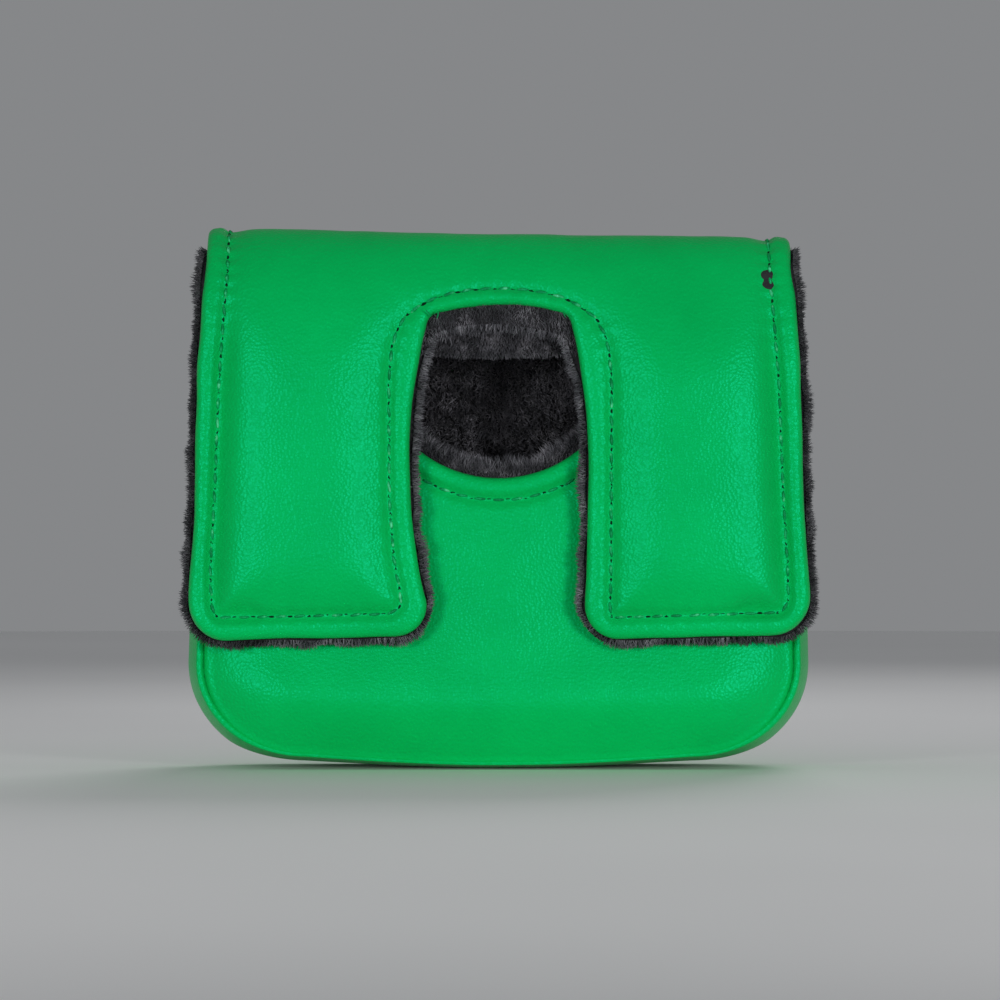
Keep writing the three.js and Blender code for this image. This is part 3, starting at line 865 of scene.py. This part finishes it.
declare(
    panel("flap_leather", LEATHER_WRAP, FLAP_EDGE[::-1], TOP_CLOSING, flap_height, [LEATHER]),
    "leather_green", ["flap_front_leather", "flap_top_leather"], blend=FRONT_FOLD, fill=0.6)
declare(
    panel("back_leather", LEATHER_WRAP, back_edge_path(FLAP_MIDDLE), TOP_CLOSING, back_height, [LEATHER]),
    "leather_green", ["back_panel_leather", "flap_top_leather"], blend=BACK_FOLD, fill=0.6)

side = PANEL_SIDE[::-1]
front_corners = [(*side[0], 2.6), *[(x, z, 0) for x, z in side[1:-1]], (*side[-1], 2.6)]
front_outline = rounded([(-50, PANEL_TOP, 0), *front_corners, (50, PANEL_TOP, 0)])
front_outline += list(NECK_EDGE[::-1][1:-1])
declare(
    panel("front_leather", FRONT_PLANE, front_outline, [], front_height, [LEATHER]),
    "leather_green", ["front_panel_leather"], ride="pouch", fill=0.5)


def gusset_strip(name, outer_inset, depth, y0, y1, bulge, material, top=PANEL_TOP, steps=26):
    """The strip round the pouch's sides and base, padded out between its two seams."""
    path = resample(pouch_path(top, outer_inset), 1.0)
    out = side_normals(path)
    ts = np.linspace(-1, 1, steps)
    outer = [(t, bulge * (1 - abs(t) ** 2.4)) for t in ts]
    inner = [(t, bulge * (1 - abs(t) ** 2.4) * 0.5 - depth) for t in ts[::-2]]
    loop = outer + inner
    points, faces = [], []
    middle, half = (y0 + y1) / 2, (y1 - y0) / 2
    for i, p in enumerate(path):
        share = 0.42 + 0.58 * smooth(np.array(p[1] / 9.0))
        wobble = 0.15 * noise.noise(Vector((p[0] / 15.0, p[1] / 15.0, 2.0)))
        for t, o in loop:
            spot = p + out[i] * ((o + (wobble if o > 0 else 0)) * share if o > 0 else o)
            points.append((spot[0], middle + t * half, spot[1]))
    n = len(loop)
    for i in range(len(path) - 1):
        for k in range(n):
            m = (k + 1) % n
            faces.append((i * n + k, (i + 1) * n + k, (i + 1) * n + m, i * n + m))
    faces.append(tuple(range(n)))
    last = (len(path) - 1) * n
    faces.append(tuple(range(last + n - 1, last - 1, -1)))
    return new_object(name, points, faces, [material])


declare(
    gusset_strip("gusset_leather_strip", 1.2, 1.5, -13.4, 22.8, 2.8, LEATHER),
    "leather_green", ["gusset_leather"], ride="pouch", fill=0.5)


# ---------------------------------------------------------------- stitched rows

TOP_ENDS = ["flap_top_left_topstitch", "flap_top_right_topstitch"]
ROW_ON_BACK = BACK_ROW[BACK_ROW[:, 1] > FLAP_MIDDLE]
for name, path, height, node, fold in (
        ("flap_topstitch", FLAP_ROW, flap_height, "flap_front_topstitch", FRONT_FOLD),
        ("back_topstitch", ROW_ON_BACK, back_height, "back_panel_topstitch", BACK_FOLD)):
    declare(stitches(name, path, LEATHER_WRAP, height), "thread_green", [node, *TOP_ENDS], blend=fold)
declare(stitches("neck_topstitching", NECK_ROW, FRONT_PLANE, front_height),
        "thread_green", ["neck_topstitch"], ride="pouch")
for name, path, sheet, node in (
        ("front_seam_thread", pouch_path(PANEL_TOP - 2, 3.5, -1.6), Plane(-10.6), "front_seam_stitching"),
        ("rear_seam_thread", pouch_path(PANEL_TOP - 2, 2.6), Plane(21.2, 1), "rear_seam_stitching")):
    declare(stitches(name, path, sheet, lambda x, v: np.zeros(np.shape(x)), holes=False),
            "thread_green", [node], ride="pouch")


# ---------------------------------------------------------------- lining

LIP = 100.2               # the lining shows for five millimetres below the slot's edge
PLUSH_MIDDLE = PLUSH_WRAP.middle


def lining_edge(grow):
    return flap_edge(grow=grow, slot_top=LIP, top=PLUSH_MIDDLE)[::-1]


def lining(name, sheet, outline, nodes, **motion):
    pad = slab(name, sheet, outline, -1.3, 1.9, [PLUSH])
    declare(pad, "plush_charcoal", nodes, fill=0.7, **motion)


lining("flap_lining", PLUSH_WRAP, lining_edge(0.6), ["flap_front_plush", "flap_top_plush"], blend=FRONT_FOLD)


def back_lining_path(grow, inset):
    """Down the back's right side from the top, in past the gusset and round the pouch."""
    half = 66.0 + grow
    path = [(half, PLUSH_MIDDLE), (half, PLUSH_WRAP.v4), (half + 0.7, PLUSH_WRAP.back_v(103))]
    down = [(x, PLUSH_WRAP.back_v(z)) for x, z in pouch_path(99, inset)]
    back = [(-half - 0.7, PLUSH_WRAP.back_v(103)), (-half, PLUSH_WRAP.v4), (-half, PLUSH_MIDDLE)]
    return path + down + back


lining("back_lining", PLUSH_WRAP, back_lining_path(0.6, 5.8), ["back_panel_plush", "flap_top_plush"],
       blend=BACK_FOLD)

FRONT_LINING = Plane(-9.6)


def front_lining_outline(radius, inset, top):
    half = float(pouch_half_width(top, inset))
    return pouch_path(top, inset)[::-1] + [p for p in neck_edge(radius, top)[::-1] if abs(p[0]) < half - 1.5]


lining("front_lining", FRONT_LINING, front_lining_outline(NECK_RADIUS - 0.8, 5.8, PANEL_TOP - 0.2),
       ["front_panel_plush"], ride="pouch")
declare(
    gusset_strip("gusset_lining", 5.2, 2.4, CAVITY_FRONT + 0.4, CAVITY_BACK - 0.4, 0.4, PLUSH),
    "plush_charcoal", ["gusset_plush"], ride="pouch", fill=0.7)


# ---------------------------------------------------------------- pile

def near_slot(x, v):
    return (np.abs(x) < 21) & (v > 95) & (v < 108)


outline = np.array(lining_edge(0.4))
lip_depth = Plane(-14.0)
lip = np.array([(-17.5, 103.0), (-15.5, 95.2), (-8, 94.4), (9, 94.6), (16.6, 95.2), (18.6, 103.0)])

def fringe(path):
    return pile_along(PLUSH_WRAP, path, 0.026, -1.4, 3.0, 1.8, wander=0.8)


# The pile on the flap's outer sides takes the darker copy of the fibres: painted shade where the side lamps
# light it.
rim = fringe(lining_edge(0.9))
outer = np.abs(rim[0][:, 0]) > 52
declare(strands("flap_fringe", *(part[outer] for part in rim), width=0.22, material=SHADED_FIBRE),
        "plush_charcoal", ["flap_front_plush"], blend=FRONT_FOLD)
flap_pile = gather("flap_pile", [
    tuple(part[~outer] for part in rim),
    pile_on(PLUSH_WRAP, outline, 14, 1.0, 1, 2.6, comb=(0, -1.3), keep=near_slot),
    pile_on(PLUSH_WRAP, outline, 0.9, -1.2, -1, 2.6, comb=(0, -0.3)),
], width=0.24)
declare(flap_pile, "plush_charcoal", ["flap_front_plush"], blend=FRONT_FOLD)

declare(
    slab("slot_lip_lining", lip_depth, lip, -1.2, 1.2, [PLUSH]),
    "plush_charcoal", ["flap_front_plush"], ride="flap_front", fill=0.7)
slot_lip_pile = gather("slot_lip_pile", [
    pile_on(lip_depth, lip, 18, 1.0, 1, 2.2, comb=(0, -0.8), spread=0.3),
    pile_along(lip_depth, [(-16, 97), (-15.5, 95.2), (-8, 94.4), (9, 94.6), (16.6, 95.2), (17, 97)], 0.04,
               -1.2, 1.3, 1.7, spread=0.15, ragged=0.15),
    pile_on(lip_depth, lip, 5, -1.0, -1, 2.2, comb=(0, -0.8), spread=0.3),
], width=0.32, curl=0.2)
declare(slot_lip_pile, "plush_charcoal", ["flap_front_plush"], ride="flap_front")

back_outline = np.array(back_lining_path(0.4, 5.0))
back_free = [(66.9, PLUSH_MIDDLE), (66.9, PLUSH_WRAP.v4), (67.6, PLUSH_WRAP.back_v(103))]
# The back's side fringes take the darker copy of the fibres too: painted shade.
back_fringe = gather("back_fringe", [
    fringe(back_free), fringe([(-x, v) for x, v in back_free[::-1]]),
], width=0.22, material=SHADED_FIBRE)
declare(back_fringe, "plush_charcoal", ["back_panel_plush"], blend=BACK_FOLD)
back_pile = gather("back_pile", [
    pile_on(PLUSH_WRAP, back_outline, 0.9, -1.2, -1, 2.8, comb=(0, 0.3)),
    pile_on(PLUSH_WRAP, back_outline, 8.0, -1.2, -1, 2.8, comb=(0, 0.3),
            keep=lambda x, v: (np.abs(x) < 30) & (np.abs(v - PLUSH_WRAP.back_v(84)) < 18)),
], width=0.28)
declare(back_pile, "plush_charcoal", ["back_panel_plush"], blend=BACK_FOLD)

scoop = [p for p in neck_edge(NECK_RADIUS - 1.6, PANEL_TOP + 0.4)][::-1]
front_polygon = np.array(front_lining_outline(NECK_RADIUS - 1.6, 5.0, PANEL_TOP + 0.4))
front_pile = gather("front_pile", [
    pile_along(FRONT_LINING, scoop, 0.025, -1.4, 1.6, 3.2, spread=0.35),
    pile_on(FRONT_LINING, front_polygon, 12, 1.0, 1, 2.6, comb=(0, 1.2),
            keep=lambda x, v: np.abs(np.hypot(x, v - NECK_Z) - NECK_RADIUS) < 2.6),
    pile_on(FRONT_LINING, front_polygon, 0.9, -1.2, -1, 2.6, comb=(0, 0.3)),
], width=0.24)
declare(front_pile, "plush_charcoal", ["front_panel_plush"], ride="pouch")


def gusset_roots(count):
    path = resample(pouch_path(PANEL_TOP, 7.7), 0.5)
    out = side_normals(path)
    pick = rng.integers(0, len(path), count)
    y = rng.uniform(CAVITY_FRONT + 1, CAVITY_BACK - 1, count)
    root = np.stack([path[pick, 0], y, path[pick, 1]], 1)
    lean = -np.stack([out[pick, 0], np.zeros(count), out[pick, 1]], 1) + rng.normal(0, 0.4, (count, 3))
    return root, lean, 2.6 * rng.uniform(0.75, 1.2, count)


def gusset_top_roots(count):
    """Pile that stands up out of the top ends of the strip."""
    side = rng.choice([-1, 1], count)
    inner, outer = (float(pouch_half_width(PANEL_TOP, inset)) for inset in (7.4, 5.4))
    x = side * rng.uniform(inner, outer, count)
    y = rng.uniform(CAVITY_FRONT + 0.6, CAVITY_BACK - 0.6, count)
    root = np.stack([x, y, np.full(count, PANEL_TOP - 0.6)], 1)
    lean = np.array([0, 0, 1.0]) + rng.normal(0, 0.35, (count, 3))
    return root, lean, 2.6 * rng.uniform(0.75, 1.2, count)


gusset_pile = gather("gusset_pile", [gusset_roots(6500), gusset_top_roots(1500)], width=0.28)
declare(gusset_pile, "plush_charcoal", ["gusset_plush"], ride="pouch")


# A few cut ends of thread stand out at the slot's upper corners.
TAILS = (  # each one's x and v, the way it leans, and its length
    (-15.2, 102.6, (-0.5, -0.6, 0.7), 2.6), (-14.4, 103.2, (0.5, -0.6, -0.9), 2.3),
    (-13.6, 103.6, (0.1, -0.7, -1.0), 1.8), (-12.4, 103.9, (0.5, -0.5, -0.7), 1.5),
    (14.6, 103.4, (0.2, -0.6, -0.8), 1.6), (15.4, 102.9, (0.6, -0.6, -0.4), 1.3))
tail_x, tail_v, tail_leans, tail_lengths = (np.array(values) for values in zip(*TAILS))
thread_tails = strands("thread_tails", LEATHER_WRAP.point(tail_x, tail_v, -0.9), tail_leans, tail_lengths,
                       0.42, 0.3, THREAD)
declare(thread_tails, "thread_green", ["flap_front_topstitch"], blend=FRONT_FOLD)


# ---------------------------------------------------------------- padding and magnets

def under(height):
    return lambda x, v: height(x, v, padding=True)


def beneath(height):
    return lambda x, v: np.minimum(-3.4, height(x, v, padding=True) - 0.6)


def foam_pad(name, sheet, outline, low, high, node, body, fill=0.6):
    declare(slab(name, sheet, outline, low, high, [FOAM]), "foam_dark", [node], ride=body, fill=fill)


front_part = flap_edge(grow=-3.2, slot_top=106.2, top=LEATHER_WRAP.v1)[::-1]
foam_pad("flap_foam", LEATHER_WRAP, front_part, beneath(flap_height), under(flap_height),
         "flap_front_foam", "flap_front")
top_low, top_high = LEATHER_WRAP.v2 + 2, LEATHER_WRAP.v3 - 2
top_part = [(-62.5, top_low), (62.5, top_low), (62.5, top_high), (-62.5, top_high)]
foam_pad("top_foam", LEATHER_WRAP, top_part, -3.4, -1.9, "flap_top_foam", "flap_top")
back_part = [(63.0, LEATHER_WRAP.v4 + 3), *[(x, LEATHER_WRAP.back_v(z)) for x, z in pouch_path(99, 3.0)],
             (-63.0, LEATHER_WRAP.v4 + 3)]
foam_pad("back_foam", LEATHER_WRAP, back_part, -3.4, under(back_height), "back_panel_foam", "pouch")
foam_pad("front_foam", FRONT_PLANE, front_lining_outline(NECK_RADIUS + 2.2, 7.0, PANEL_TOP - 2.4),
         -4.4, under(front_height), "front_panel_foam", "pouch", fill=0.5)
declare(gusset_strip("gusset_foam_strip", 3.1, 1.6, -10.8, 19.8, 1.4, FOAM, top=PANEL_TOP - 0.8),
        "foam_dark", ["gusset_foam"], ride="pouch", fill=0.5)


def revolve(rings, sides, place):
    """Points and faces of rings of (radius, level) about an axis, and of a point where the radius is 0."""
    points, faces, before = [], [], None
    for radius, level in rings:
        first, count = len(points), sides if radius else 1
        for j in range(count):
            angle = 2 * math.pi * j / sides
            points.append(place(radius * math.cos(angle), radius * math.sin(angle), level))
        ring = [first + j % count for j in range(sides + 1)]
        if before:
            quads = [(before[j], before[j + 1], ring[j + 1], ring[j]) for j in range(sides)]
            faces += [tuple(dict.fromkeys(quad)) for quad in quads]
        before = ring
    return points, faces


def disc(name, centre, radius, half):
    """A flat round magnet with a small bevel and a pressed centre mark on each face."""
    bevel = 0.3
    face = [(0.0, half - 0.15), (0.8, half - 0.1), (1.2, half), (radius - bevel, half), (radius, half - bevel)]
    rings = [(r, -level) for r, level in face] + face[::-1]
    points, faces = revolve(rings, 48, lambda a, b, level: (centre.x + a, centre.y + level, centre.z + b))
    return new_object(name, points, faces, [NICKEL], flat=True)


for node, body in (("left_pouch_magnet", "pouch"), ("right_pouch_magnet", "pouch"),
                   ("left_flap_magnet", "flap_front"), ("right_flap_magnet", "flap_front")):
    low, high = (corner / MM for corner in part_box(node))
    centre = (low + high) / 2
    declare(disc(node + "_disc", centre, (high.x - low.x) / 2, (high.y - low.y) / 2),
            "magnet_nickel", [node], ride=body)


# ---------------------------------------------------------------- floor, light and camera

def floor_disc(radius=1600.0, rings=10):
    finish = Finish("pale_floor", Roughness=0.75, Specular_IOR_Level=0.2)
    mottle = finish.texture("Noise", "Fac", Scale=3.0, Detail=2.0)
    finish.colour(mottle, [(0.3, (0.86, 0.86, 0.86)), (0.7, (0.9, 0.9, 0.9))])
    spread = [(radius * k / rings, 0.0) for k in range(rings, -1, -1)]
    return new_object("floor", *revolve(spread, 72, lambda a, b, level: (a, b, level)), [finish.material])


floor = floor_disc()


def area_light(name, place, aim, size, energy):
    data = bpy.data.lights.new(name, "AREA")
    data.shape = "RECTANGLE"
    data.size, data.size_y = size
    data.energy = energy
    data.spread = math.radians(60)
    light = bpy.data.objects.new(name, data)
    light.location = place
    light.visible_camera = False
    light.rotation_euler = (Vector(aim) - Vector(place)).to_track_quat("-Z", "Y").to_euler()
    bpy.context.scene.collection.objects.link(light)
    return light


area_light("left_softbox", (-0.62, -1.2, 0.13), (0, 0, -0.1), (0.24, 0.22), 0.77)
area_light("right_softbox", (0.62, -1.2, 0.13), (0, 0, -0.1), (0.24, 0.22), 0.93)
# Light for the back and the floor there, kept out of the reflections along the object's outline.
area_light("back_softbox", (0.3, 1.15, 0.75), (0, 0, 0.05), (0.6, 0.6), 0.8).visible_glossy = False

world = bpy.data.worlds.new("pale_studio")
bpy.context.scene.world = world
world.use_nodes = True
background = world.node_tree.nodes["Background"]
background.inputs["Color"].default_value = (0.95, 0.97, 1.0, 1)
background.inputs["Strength"].default_value = 0.25

camera_data = bpy.data.cameras.new("camera")
camera_data.lens = 240
camera_data.sensor_width = 36
camera = bpy.data.objects.new("camera", camera_data)
camera.location = (0.00034, -1.525, 0.0612)
camera.rotation_euler = (math.radians(90), 0, 0)
bpy.context.scene.collection.objects.link(camera)
bpy.context.scene.camera = camera
bpy.context.scene.view_settings.view_transform = "Standard"
